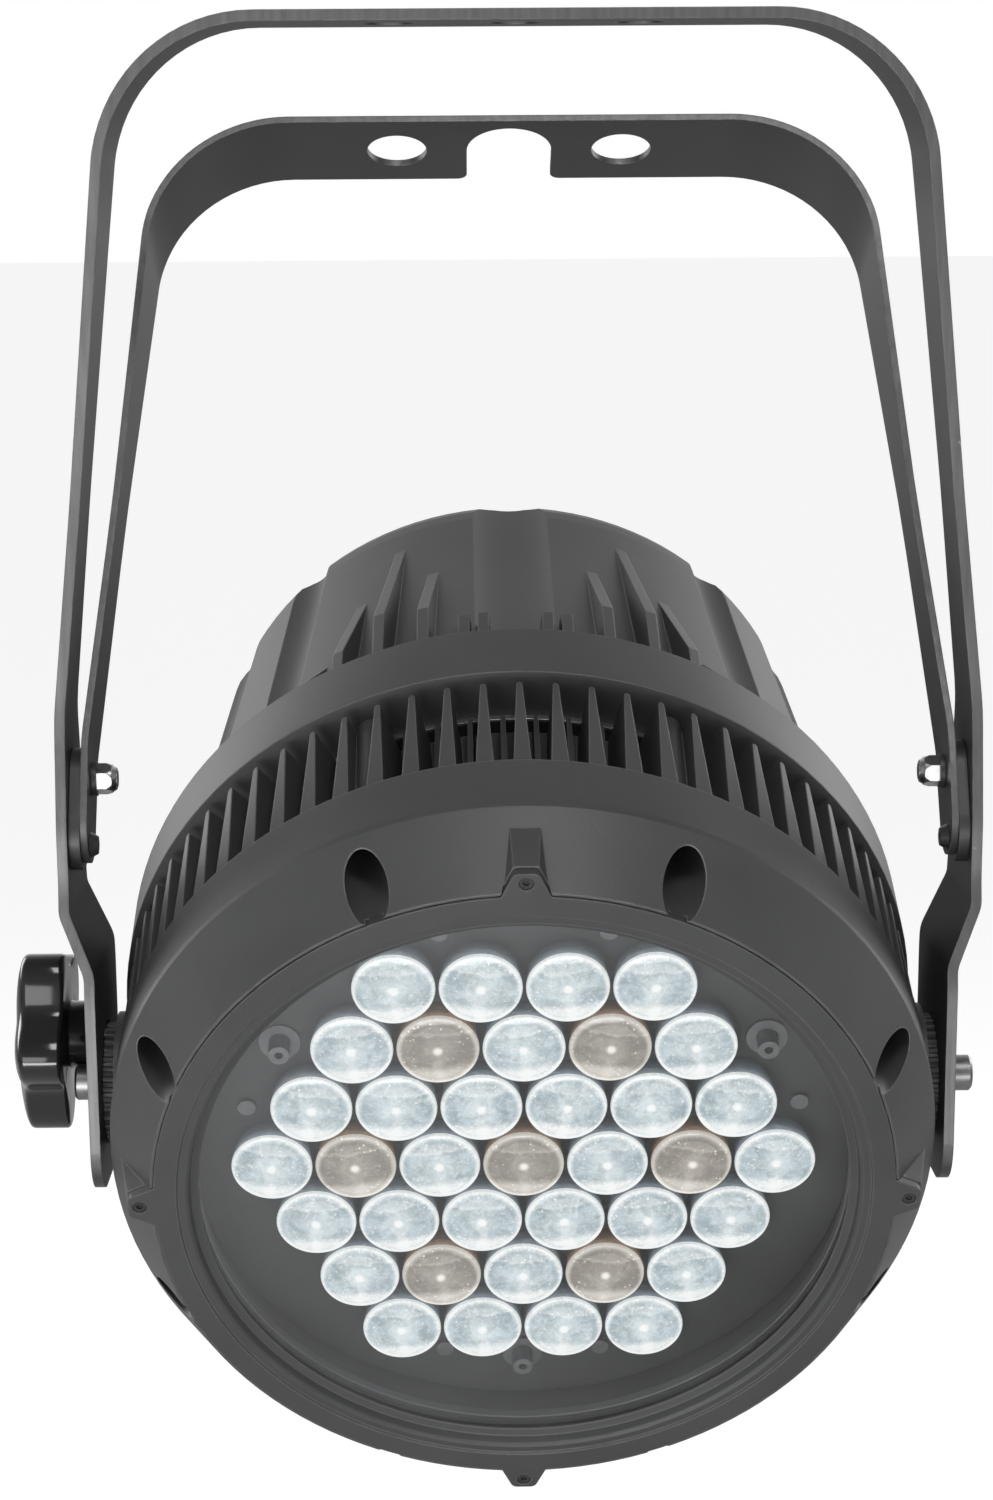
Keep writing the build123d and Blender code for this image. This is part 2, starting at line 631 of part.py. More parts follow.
save("zoom_lead_screw", rod(-27.5, *LEAD), HEAD)
save("zoom_motor", z_cyl(12.5, -30.0, -9.1, *LEAD) - z_cyl(ROD_BORE, -27.6, 0, *LEAD), HEAD)

# ===========================================================================
# Rear cover: clamping band and the fluted pot
# ===========================================================================
FLUTES = [                                 # degrees from up, radius, depth
    (0, 22.0, 4.2), (42.5, 9.0, 4.6), (65, 13.0, 4.0), (115, 13.0, 4.0), (137.5, 9.0, 4.6),
    (180, 22.0, 4.2), (222.5, 9.0, 4.6), (245, 13.0, 4.0), (295, 13.0, 4.0), (317.5, 9.0, 4.6)]
RIBS = [            # degrees either side of up and down, radius at the band, bend z, end z
    (5.0, 111.4, -84.0, -87.0), (8.0, 111.4, -84.0, -87.0), (14.1, 114.2, -87.0, -134.0),
    (20.9, 115.2, -89.0, -161.0), (27.4, 115.6, -75.0, -128.0), (33.5, 114.8, -69.0, -91.0)]
RIB_T = 3.4


def wall_r(z):
    """Outer radius of the plain pot wall at height z."""
    return POT_R0 + (POT_R1 - POT_R0) * (z - POT_Z0) / (POT_RIM_Z - POT_Z0)


COVER_PROFILE = [                                      # radius, z
    (0, BAND_Z0), (BAND_R, BAND_Z0), (BAND_R, BAND_Z1 + 0.8), (BAND_R - 0.8, BAND_Z1),
    (114.6, -64.0), (wall_r(-66.0), -66.0), (wall_r(POT_RIM_Z), POT_RIM_Z),
    (POT_R1 - 0.9, -178), (POT_R1 - 2.6, -183), (POT_R1 - 5.0, -186), (POT_R1 - 7.5, POT_Z1),
    (0, POT_Z1)]
CAVITY_PROFILE = [                                     # radius, z
    (0, BAND_Z0 + 1), (93.0, BAND_Z0 + 1), (93.0, BAND_Z0 - 4.0),
    (wall_r(-64) - 4.5, BAND_Z0 - 8.0), (wall_r(-64) - 4.5, -64),
    (wall_r(POT_RIM_Z) - POT_WALL, POT_RIM_Z), (90.0, -180), (0, -180)]


def flute(angle, radius, depth, wall=0):
    """Cylinder leaning with the pot wall; wall thickens it about the same axis."""
    slope = math.degrees(math.atan2(POT_R0 - POT_R1, POT_Z0 - POT_RIM_Z))
    place = Rot(Z=-angle) * Pos(0, POT_R0 + radius - depth, POT_Z0) * Rot(X=-slope)
    return place * z_cyl(radius + wall, -150, 0)


def cover_ribs():
    ribs = []
    for angle, band_r, bend_z, end_z in RIBS:
        face = polygon_face([
            (0, 96.0, -52.0), (0, band_r, -52.0), (0, band_r, bend_z),
            (0, wall_r(end_z) - 0.5, end_z), (0, 96.0, end_z)])
        rib = extrude_x(face, -RIB_T / 2, RIB_T / 2)
        for s in SIDES:
            for flip in (0, 180):
                ribs.append(Rot(Z=flip + s * angle) * rib)
    return ribs


def rear_cover():
    cutter = Part() + [flute(*f) for f in FLUTES]
    cutter = cutter & z_cyl(140, -66.6, -200)
    cover = lathe(COVER_PROFILE) - cutter
    cover = cover + cover_ribs()
    # the cavity keeps the wall thickness behind each flute
    cavity = lathe(CAVITY_PROFILE)
    cavity -= [flute(*f, wall=POT_WALL) & z_cyl(140, -50, -200) for f in FLUTES]
    cover = cover - cavity
    cover -= z_cyl(PANEL_R + 0.15, PANEL_Z, -190)
    cover -= z_cyl(80.0, -175, -190)
    for place in POCKETS:
        cover -= z_cyl(2.02, -47, BAND_Z0 + 1, *place)
    for place in PANEL_SCREWS:
        cover -= z_cyl(1.5, -172.0, -190, *place)
    return cover


save("rear_cover", rear_cover(), HEAD)


# ===========================================================================
# End panel with display, keys and sockets; its outside faces -Z
# ===========================================================================
def panel_cyl(radius, inward, outward, x, y):
    """Cylinder from inward of the panel's seat to outward of it."""
    return z_cyl(radius, PANEL_Z + inward, PANEL_Z - outward, x, y)


def end_panel():
    panel = z_cyl(PANEL_R, PANEL_Z, PANEL_BACK)
    panel -= Pos(0, DISPLAY_Y, PANEL_Z - 1) * Box(44, 22, 8)
    holes = [(4.6, x, KEY_Y) for x in KEY_X]
    holes += [(12.0, *p) for p in (POWER_IN, POWER_OUT, DATA_IN, DATA_OUT)]
    holes += [(1.6, *p) for p in PANEL_SCREWS]
    holes.append((3.0, *EYE))
    for radius, x, y in holes:
        panel -= panel_cyl(radius, 2, 5, x, y)
    return panel


def panel_screw(x, y):
    return z_cyl(1.48, -173, PANEL_BACK, x, y) + panel_cyl(2.5, -2.5, 4.2, x, y)


def menu_key(x):
    """Button with a retaining flange behind the panel, joined by a neck."""
    key = panel_cyl(4.5, -0.2, 4.6, x, KEY_Y) + panel_cyl(5.4, 1.2, -0.2, x, KEY_Y)
    key += panel_cyl(4.5, 0.5, 1.0, x, KEY_Y)
    return key


def power_socket(x, y):
    socket = panel_cyl(11.9, 14, 2.5, x, y) + panel_cyl(14.5, -2.5, 4.5, x, y)
    socket += ring(11.5, 9.4, PANEL_Z - 4.5, PANEL_Z - 9.0, x, y)
    socket -= ring(9.4, 6.4, PANEL_Z - 1, PANEL_Z - 12, x, y)
    socket -= panel_cyl(2.2, -3.5, 12, x, y)
    return socket


def data_shell(x, y):
    shell = panel_cyl(11.9, 12, 2.5, x, y) + panel_cyl(13.5, -2.5, 5.0, x, y)
    return shell - panel_cyl(8.2, 2, 8, x, y)


def pin_places(x, y):
    offsets = [polar(PIN_CIRCLE_R, a) for a in PIN_ANGLES]
    return [(x + dx, y + dy) for dx, dy in offsets]


def data_in_socket(x, y):
    socket = data_shell(x, y)
    for place in pin_places(x, y):
        socket += panel_cyl(0.9, 2.5, 4.5, *place)
    return socket


def data_out_socket(x, y):
    core = panel_cyl(7.4, 2.5, 4.6, x, y)
    for place in pin_places(x, y):
        core -= panel_cyl(1.1, 0, 8, *place)
    return data_shell(x, y) + core


def safety_eye():
    """Safety-bond ring on a flanged stem."""
    eye = panel_cyl(2.95, 6, 3.0, *EYE) + panel_cyl(5.5, -2.5, 4.4, *EYE)
    eye += Pos(*EYE, PANEL_Z - 10.9) * Rot(Y=90) * Rot(Z=7) * Torus(5.6, 1.75)
    return eye


save("end_panel", end_panel(), HEAD)
save("panel_screws", [panel_screw(*p) for p in PANEL_SCREWS], HEAD)
save("display_window", Pos(0, DISPLAY_Y, PANEL_Z - 2.0) * Box(43.8, 21.8, 1.6), HEAD)
save("display_module", Pos(0, DISPLAY_Y, PANEL_Z + 1.4) * Box(40, 19, 4.6), HEAD)
for i, key_x in enumerate(KEY_X):
    save(f"menu_key_{i + 1}", menu_key(key_x), HEAD)
save("key_board", Pos(0, KEY_Y, PANEL_Z + 4.0) * Box(62, 14, 1.6), HEAD)
save("power_inlet", power_socket(*POWER_IN), HEAD)
save("power_outlet", power_socket(*POWER_OUT), HEAD)
save("data_in_socket", data_in_socket(*DATA_IN), HEAD)
save("data_out_socket", data_out_socket(*DATA_OUT), HEAD)
save("safety_eye", safety_eye(), HEAD)

# ===========================================================================
# Electronics inside the pot
# ===========================================================================
DRIVER_PARTS = [                           # x, z, size in x, size in z, height off the board
    (-45, -90, 16, 16, 14), (-20, -90, 16, 16, 14), (5, -90, 16, 16, 14), (30, -90, 16, 16, 14),
    (-40, -130, 12, 12, 20), (-15, -130, 12, 12, 20), (20, -130, 34, 26, 6)]


def power_supply():
    """Sheet case, open towards the tray that closes it."""
    case = Pos(0, 24.5, -114) * Box(112, 47, 92)
    case -= Pos(0, 48.5, -114) * Box(108, 3, 88)
    case -= Pos(0, 22.6, -114) * Box(109, 45.2, 89)
    return case


def driver_board():
    board = Pos(0, -10, -115) * Box(128, 1.6, 92)
    for x, z, size_x, size_z, height in DRIVER_PARTS:
        board += Pos(x, -10.8 - height / 2, z) * Box(size_x, height, size_z)
    return board


save("electronics_tray",
     Pos(0, 0, -115) * Box(150, 1.5, 96) + Pos(0, 6, -163.75) * Box(100, 13.5, 1.5), HEAD)
save("power_supply", power_supply(), HEAD)
save("led_driver_board", driver_board(), HEAD)
save("board_standoffs", [
    Pos(x, -4.975, z) * Rot(X=90) * Cylinder(3.0, 8.4) for x in (-58, 58) for z in (-154, -76)],
    HEAD)
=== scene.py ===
"""LED stage wash light hanging from a strip-steel yoke, with 37 lit lenses and a star knob.

The clamp hole is at the origin and +Z is up. The head turns on an axis along X below the
clamp hole, and its front looks towards -Y and down. The lock knob is on the -X side.
"""
import bpy
import bmesh
import math
import random
from mathutils import Matrix, Vector


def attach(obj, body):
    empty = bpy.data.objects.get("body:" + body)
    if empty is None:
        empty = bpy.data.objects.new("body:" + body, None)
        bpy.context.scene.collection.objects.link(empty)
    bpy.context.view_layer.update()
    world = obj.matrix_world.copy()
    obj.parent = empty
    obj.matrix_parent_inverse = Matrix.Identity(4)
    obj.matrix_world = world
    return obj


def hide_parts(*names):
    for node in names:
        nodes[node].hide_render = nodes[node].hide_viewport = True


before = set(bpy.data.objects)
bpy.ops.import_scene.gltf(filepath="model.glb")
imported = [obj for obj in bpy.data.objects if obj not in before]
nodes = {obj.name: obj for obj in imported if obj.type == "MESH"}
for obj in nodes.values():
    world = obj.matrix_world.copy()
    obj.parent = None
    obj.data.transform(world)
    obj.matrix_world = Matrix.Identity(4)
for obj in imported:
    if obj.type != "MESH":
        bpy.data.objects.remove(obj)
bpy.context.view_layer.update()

MM = 0.001
TILT_Z = -0.303                      # height of the tilt axis, metres
HEAD_DIP = math.radians(21.3)        # how far the head looks down
STAND_TURN = math.radians(28.5)      # turn of the stand strip about X

# Head parts are drawn with +Z forward and +Y up, then turned into the product's frame.
HEAD = (Matrix.Translation((0, 0, TILT_Z))
        @ Matrix.Rotation(math.radians(90) + HEAD_DIP, 4, "X"))


# ---------------------------------------------------------------------------
# Mesh helpers
# ---------------------------------------------------------------------------
def add_head_part(bm, name, material, sharp):
    """Turn a bmesh drawn in head axes into an object; sharp is the crease angle in degrees."""
    mesh = bpy.data.meshes.new(name)
    bmesh.ops.recalc_face_normals(bm, faces=bm.faces[:])
    bm.to_mesh(mesh)
    bm.free()
    mesh.transform(HEAD)
    mesh.shade_smooth()
    mesh.set_sharp_from_angle(angle=math.radians(sharp))
    part = bpy.data.objects.new(name, mesh)
    bpy.context.scene.collection.objects.link(part)
    mesh.materials.append(material)
    return part


def skin_rings(bm, rings):
    """Join each ring to the next; a ring of one vertex is a pole."""
    for near, far in zip(rings[:-1], rings[1:]):
        count = max(len(near), len(far))
        for i in range(count):
            j = (i + 1) % count
            if len(near) == 1:
                bm.faces.new((near[0], far[i], far[j]))
            elif len(far) == 1:
                bm.faces.new((near[i], far[0], near[j]))
            else:
                bm.faces.new((near[i], far[i], far[j], near[j]))


def lathe(bm, profile, segments):
    """Turn (radius, z) points in mm about Z and return the new vertices."""
    rings = []
    for radius, z in profile:
        if radius < 1e-6:
            rings.append([bm.verts.new((0, 0, z * MM))])
            continue
        angles = [2 * math.pi * i / segments for i in range(segments)]
        rings.append([bm.verts.new((radius * MM * math.cos(angle),
                                    radius * MM * math.sin(angle), z * MM))
                      for angle in angles])
    skin_rings(bm, rings)
    return [vert for ring in rings for vert in ring]


# ---------------------------------------------------------------------------
# Shader helpers: a small expression layer over shader nodes
# ---------------------------------------------------------------------------
class Value:
    """A shader number; arithmetic on it adds Math nodes to its graph."""

    def __init__(self, graph, node, output=0):
        self.graph = graph
        self.socket = node.outputs[output]

    def math(self, operation, *others, clamp=False):
        inputs = dict(enumerate((self,) + others))
        node = self.graph.node("ShaderNodeMath", inputs, operation=operation, use_clamp=clamp)
        return Value(self.graph, node)

    def __add__(self, other):
        return self.math("ADD", other)

    def __sub__(self, other):
        return self.math("SUBTRACT", other)

    def __rsub__(self, other):
        return (self * -1.0) + other

    def __mul__(self, other):
        return self.math("MULTIPLY", other)

    def abs(self):
        return self.math("ABSOLUTE")

    def sqrt(self):
        return self.math("SQRT")

    def clamp(self):
        return self.math("ADD", 0.0, clamp=True)

    def step(self, start, end, low=0.0, high=1.0, smooth=True):
        """Go from low to high as the value goes from start to end."""
        inputs = {"Value": self, "From Min": start, "From Max": end,
                  "To Min": low, "To Max": high}
        kind = "SMOOTHSTEP" if smooth else "LINEAR"
        node = self.graph.node("ShaderNodeMapRange", inputs, interpolation_type=kind)
        return Value(self.graph, node, "Result")


class Graph:
    """Node tree of a material or world, emptied and given one output node."""

    def __init__(self, owner, output="ShaderNodeOutputMaterial"):
        self.owner = owner
        owner.use_nodes = True
        self.tree = owner.node_tree
        self.tree.nodes.clear()
        self.output = self.tree.nodes.new(output)
        self.coords = None

    def node(self, kind, inputs=None, **settings):
        node = self.tree.nodes.new(kind)
        for key, setting in settings.items():
            setattr(node, key, setting)
        for key, source in (inputs or {}).items():
            self.feed(node.inputs[key], source)
        return node

    def feed(self, socket, source):
        """Link a Value, socket or node (its first output), or set a plain value."""
        if isinstance(source, Value):
            source = source.socket
        elif isinstance(source, bpy.types.Node):
            source = source.outputs[0]
        if isinstance(source, bpy.types.NodeSocket):
            self.tree.links.new(source, socket)
        else:
            socket.default_value = source

    def object_coords(self):
        if self.coords is None:
            self.coords = self.node("ShaderNodeTexCoord").outputs["Object"]
        return self.coords

    def stretched(self, scale):
        """Object coordinates scaled by a different amount along each axis."""
        inputs = {"Vector": self.object_coords(), "Scale": scale}
        return self.node("ShaderNodeMapping", inputs).outputs[0]

    def split(self, vector):
        node = self.node("ShaderNodeSeparateXYZ", {0: vector})
        return [Value(self, node, axis) for axis in range(3)]

    def dot(self, first, second):
        node = self.node("ShaderNodeVectorMath", {0: first, 1: second},
                         operation="DOT_PRODUCT")
        return Value(self, node, "Value")

    def noise(self, scale, detail=3.0, rough=0.5, vector=None, distortion=0.0):
        inputs = {"Scale": scale, "Detail": detail, "Roughness": rough,
                  "Distortion": distortion, "Vector": vector or self.object_coords()}
        return Value(self, self.node("ShaderNodeTexNoise", inputs), "Fac")

    def voronoi(self, scale, vector=None):
        inputs = {"Scale": scale, "Vector": vector or self.object_coords()}
        return Value(self, self.node("ShaderNodeTexVoronoi", inputs), "Distance")

    def mix(self, factor, first, second):
        """Mix two colours, each a socket or an RGB tuple."""
        node = self.node("ShaderNodeMix", data_type="RGBA")
        self.feed(node.inputs[0], factor)
        for index, color in ((6, first), (7, second)):
            if isinstance(color, tuple):
                color = color + (1.0,)
            self.feed(node.inputs[index], color)
        return node.outputs[2]

    def mottle(self, pattern, color, tint):
        """Vary a colour by the share tint, darker and lighter, with a noise pattern."""
        return self.mix(pattern.step(start=0.3, end=0.7),
                        shade(color, 1 - tint), shade(color, 1 + tint))

    def bump(self, height, strength, distance, normal):
        inputs = {"Strength": strength, "Distance": distance, "Height": height,
                  "Normal": normal}
        return self.node("ShaderNodeBump", inputs).outputs["Normal"]

    def soft_edge(self, radius):
        return self.node("ShaderNodeBevel", {"Radius": radius}, samples=4).outputs["Normal"]

    def edge_mask(self, soft_normal):
        """1 on edges, where the softened normal leaves the true one."""
        geometry = self.node("ShaderNodeNewGeometry")
        agreement = self.dot(geometry.outputs["Normal"], soft_normal)
        return (1.0 - agreement).step(start=0.02, end=0.25)

    def fresnel(self, ior):
        return Value(self, self.node("ShaderNodeFresnel", {"IOR": ior}))

    def gloss(self, roughness):
        inputs = {"Color": (1, 1, 1, 1), "Roughness": roughness}
        return self.node("ShaderNodeBsdfGlossy", inputs)

    def emission(self, color, strength):
        return self.node("ShaderNodeEmission", {"Strength": strength, "Color": color})

    def mix_shader(self, factor, first, second):
        return self.node("ShaderNodeMixShader", {0: factor, 1: first, 2: second})

    def done(self, shader):
        self.feed(self.output.inputs["Surface"], shader)
        return self.owner

    def paint(self, color, roughness, normal, **inputs):
        """Finish the material with a Principled surface."""
        inputs.update({"Base Color": color, "Roughness": roughness, "Normal": normal})
        return self.done(self.node("ShaderNodeBsdfPrincipled", inputs))


def new_graph(name):
    return Graph(bpy.data.materials.new(name))


def shade(color, factor):
    return tuple(min(1.0, channel * factor) for channel in color)


# ---------------------------------------------------------------------------
# Material families. Noise scales are per metre, radii and bump distances in metres.
# ---------------------------------------------------------------------------
def powder(name, base, rough=0.48, grain=1100.0, edge=0.35):
    """Powder coat: fine orange peel, faint mottling, pale specks, and worn edges lightened
    further by a painted edge highlight.

    edge sets how strongly the coat wears through along the edges, with the painted edge
    highlight.
    """
    g = new_graph(name)
    peel = g.noise(scale=grain, detail=2.0, rough=0.55)
    fine = g.noise(scale=grain * 3.1, detail=1.0, rough=0.5)
    broad = g.noise(scale=22.0, detail=4.0, rough=0.6)
    speck = g.voronoi(scale=grain * 0.9)
    soft = g.soft_edge(radius=0.0007)
    normal = g.bump(peel * 0.8 + fine * 0.25, strength=0.10, distance=0.0004, normal=soft)
    # worn edges and painted edge highlight: the edges are lightened toward a pale grey
    patches = g.edge_mask(soft) * g.noise(scale=160.0, detail=4.0, rough=0.65).step(
        start=0.22, end=0.55, low=0.35, high=1.0)
    worn_and_highlit = patches * (edge * 1.9)
    color = g.mottle(broad, base, tint=0.10)
    color = g.mix(speck.step(start=0.0, end=0.12, low=0.10, high=0.0), color,
                  shade(base, 2.2))
    bare_metal_and_highlight = (0.26, 0.26, 0.265)
    color = g.mix(worn_and_highlit, color, bare_metal_and_highlight)
    # the two noises vary the gloss about the given roughness
    roughness = (broad * 0.10 + peel * 0.06) + (rough - 0.08)
    return g.paint(color, roughness, normal)


def strip_steel(name, base, across, rough=0.42):
    """Painted strip whose narrow edges get a painted sheen, a lighter colour where light falls
    on them; across is the normal of those.
    """
    g = new_graph(name)
    peel = g.noise(scale=1300.0, detail=2.0, rough=0.5)
    broad = g.noise(scale=16.0, detail=5.0, rough=0.62)
    run = g.noise(scale=9.0, detail=3.0, rough=0.5, vector=g.stretched((60.0, 60.0, 3.0)))
    soft = g.soft_edge(radius=0.0005)
    normal = g.bump(peel, strength=0.10, distance=0.0004, normal=soft)
    facing = g.node("ShaderNodeTexCoord").outputs["Normal"]
    # painted sheen: the narrow edges facing along across are painted lighter
    side = g.dot(facing, across).abs().step(start=0.80, end=0.97)
    painted_sheen = side * run.step(start=0.25, end=0.75, low=0.55, high=1.0)
    corner = g.edge_mask(soft) * g.noise(scale=240.0, detail=4.0, rough=0.6).step(
        start=0.38, end=0.6)
    scratch = g.noise(scale=42.0, detail=6.0, rough=0.75, distortion=1.5).step(
        start=0.655, end=0.70)
    painted_sheen_color, bare_corner, bare_scratch = (0.115, 0.115, 0.117), (0.34, 0.34, 0.345), \
        (0.33, 0.33, 0.335)
    color = g.mottle(broad, base, tint=0.14)
    # painted sheen: the narrow edges are mixed toward a lighter grey
    color = g.mix(painted_sheen, color, painted_sheen_color)
    color = g.mix(corner * 0.55, color, bare_corner)
    color = g.mix(scratch * side * 0.6, color, bare_scratch)
    # the narrow edges under the painted sheen are a little glossier and partly metallic
    roughness = painted_sheen * -0.06 + (broad * 0.12 + (rough - 0.06))
    return g.paint(color, roughness, normal, Metallic=painted_sheen * 0.25)


def plated(name, color, rough, brush=0.0, metallic=1.0):
    """Bare or plated metal; brush is the depth of fine lines along X."""
    g = new_graph(name)
    smear = g.noise(scale=420.0, detail=4.0, rough=0.6)
    pits = g.noise(scale=2600.0, detail=2.0, rough=0.6)
    lines = g.noise(scale=1.0, detail=3.0, rough=0.6,
                    vector=g.stretched((300.0, 3600.0, 3600.0)))
    soft = g.soft_edge(radius=0.0003)
    normal = g.bump(pits * 0.4 + lines * brush, strength=0.16, distance=0.0002, normal=soft)
    smeared = g.mix(smear.step(start=0.3, end=0.7), shade(color, 0.80), color)
    # smears vary the gloss about the given roughness
    return g.paint(smeared, smear * 0.18 + (rough - 0.05), normal, Metallic=metallic)


def plastic(name, color, rough, bump=0.06, grain=1500.0, coat=0.0, tint=0.12):
    """Moulded plastic, rubber or lacquer with a fine grain and an optional clear coat."""
    g = new_graph(name)
    texture = g.noise(scale=grain, detail=3.0, rough=0.6)
    broad = g.noise(scale=55.0, detail=4.0, rough=0.6)
    soft = g.soft_edge(radius=0.0004)
    normal = g.bump(texture, strength=bump, distance=0.0003, normal=soft)
    mottled = g.mottle(broad, color, tint)
    # the broad noise varies the gloss about the given roughness
    return g.paint(mottled, broad * 0.12 + (rough - 0.06), normal,
                   **{"Coat Weight": coat, "Coat Roughness": 0.08})


housing_coat = powder("housing_coat", base=(0.050, 0.0505, 0.052))
# painted shade: the bezel gets a darker copy of the coat, for the shade on its front face
bezel_shaded_coat = powder("bezel_shaded_coat", base=(0.036, 0.0365, 0.0375), rough=0.5, edge=0.25)
cover_coat = powder("cover_coat", base=(0.054, 0.0545, 0.056), rough=0.5)
panel_coat = powder("panel_coat", base=(0.045, 0.0455, 0.047), rough=0.46, grain=1500.0)
yoke_coat = strip_steel("yoke_coat", base=(0.026, 0.0263, 0.027), across=(0.0, 1.0, 0.0))
stand_coat = strip_steel("stand_coat", base=(0.030, 0.0303, 0.031),
                         across=(0.0, math.cos(STAND_TURN), -math.sin(STAND_TURN)))
zinc = plated("bright_zinc", color=(0.50, 0.50, 0.51), rough=0.26)
bolt_steel = plated("turned_steel", color=(0.27, 0.27, 0.275), rough=0.34, brush=0.5)
steel = plated("ground_steel", color=(0.62, 0.62, 0.63), rough=0.24, brush=0.3)
black_oxide = plated("black_oxide", color=(0.05, 0.05, 0.052), rough=0.36, metallic=0.6)
dark_nickel = plated("dark_nickel", color=(0.17, 0.17, 0.175), rough=0.45, metallic=0.8)
nylon = plastic("black_nylon", color=(0.025, 0.025, 0.027), rough=0.42)
knob_gloss = plastic("knob_gloss", color=(0.010, 0.010, 0.011), rough=0.13, bump=0.02,
                     coat=0.25, grain=420.0)
seal_rubber = plastic("soft_seal", color=(0.018, 0.018, 0.018), rough=0.62, bump=0.15)
mask_black = plastic("mask_black", color=(0.020, 0.020, 0.021), rough=0.55, bump=0.12,
                     grain=2200.0)
aluminium = plated("machined_aluminium", color=(0.66, 0.67, 0.68), rough=0.34, brush=0.8)
brass = plated("turned_brass", color=(0.70, 0.52, 0.25), rough=0.25, brush=0.3)
white_board = plastic("white_mask_board", color=(0.72, 0.72, 0.70), rough=0.35, bump=0.03)
green_board = plastic("green_mask_board", color=(0.02, 0.13, 0.06), rough=0.35, bump=0.08,
                      tint=0.3)
socket_blue = plastic("socket_blue", color=(0.03, 0.09, 0.26), rough=0.38)
socket_grey = plastic("socket_grey", color=(0.34, 0.345, 0.35), rough=0.40)
socket_black = plastic("socket_black", color=(0.020, 0.020, 0.021), rough=0.35)
key_rubber = plastic("key_rubber", color=(0.07, 0.07, 0.072), rough=0.55, bump=0.1)
display_smoke = plastic("display_smoke", color=(0.008, 0.010, 0.016), rough=0.08, bump=0.0,
                        coat=1.0)


# ---------------------------------------------------------------------------
# Glass, lit lenses and emitters
# ---------------------------------------------------------------------------
def make_cover_glass():
    """Flat clear glass with a painted reflection on its front: a soft pale glow standing in
    for the room mirrored in it.
    """
    g = new_graph("cover_glass")
    geometry = g.node("ShaderNodeNewGeometry")
    front = 1.0 - Value(g, geometry, "Backfacing")
    x, y, z = g.split(g.object_coords())
    # noises that make the painted reflection patchy
    smear = g.noise(scale=11.0, detail=3.0, rough=0.55).step(start=0.30, end=0.72)
    dust_sheen = g.noise(scale=900.0, detail=4.0, rough=0.7).step(start=0.58, end=0.80)
    # up the slope of the glass, 0 at its foot and 1 at its head, 0.2 m higher
    glass_foot = TILT_Z - 0.105
    rise = ((z - glass_foot) * 5.0).clamp()
    fresnel = g.fresnel(ior=1.5)
    gloss = g.gloss(roughness=0.05)
    # painted reflection: a pale emission on the front of the glass
    painted_reflection = g.emission(color=(0.96, 0.98, 1.0, 1), strength=1.0)
    clear = g.node("ShaderNodeBsdfTransparent", {"Color": (0.985, 0.99, 0.985, 1)})
    mirror = g.mix_shader(fresnel * front * 1.2, clear, gloss)
    # the painted reflection thickens towards -X and towards the head of the glass; two noises
    # make it patchy
    left = (x * -6.0 + 0.35).clamp()
    painted_reflection_share = (smear * 0.022 + dust_sheen * 0.008 + rise.step(start=0.55, end=1.0) * 0.045
                  + left * 0.045) * front
    return g.done(g.mix_shader(painted_reflection_share, mirror, painted_reflection))


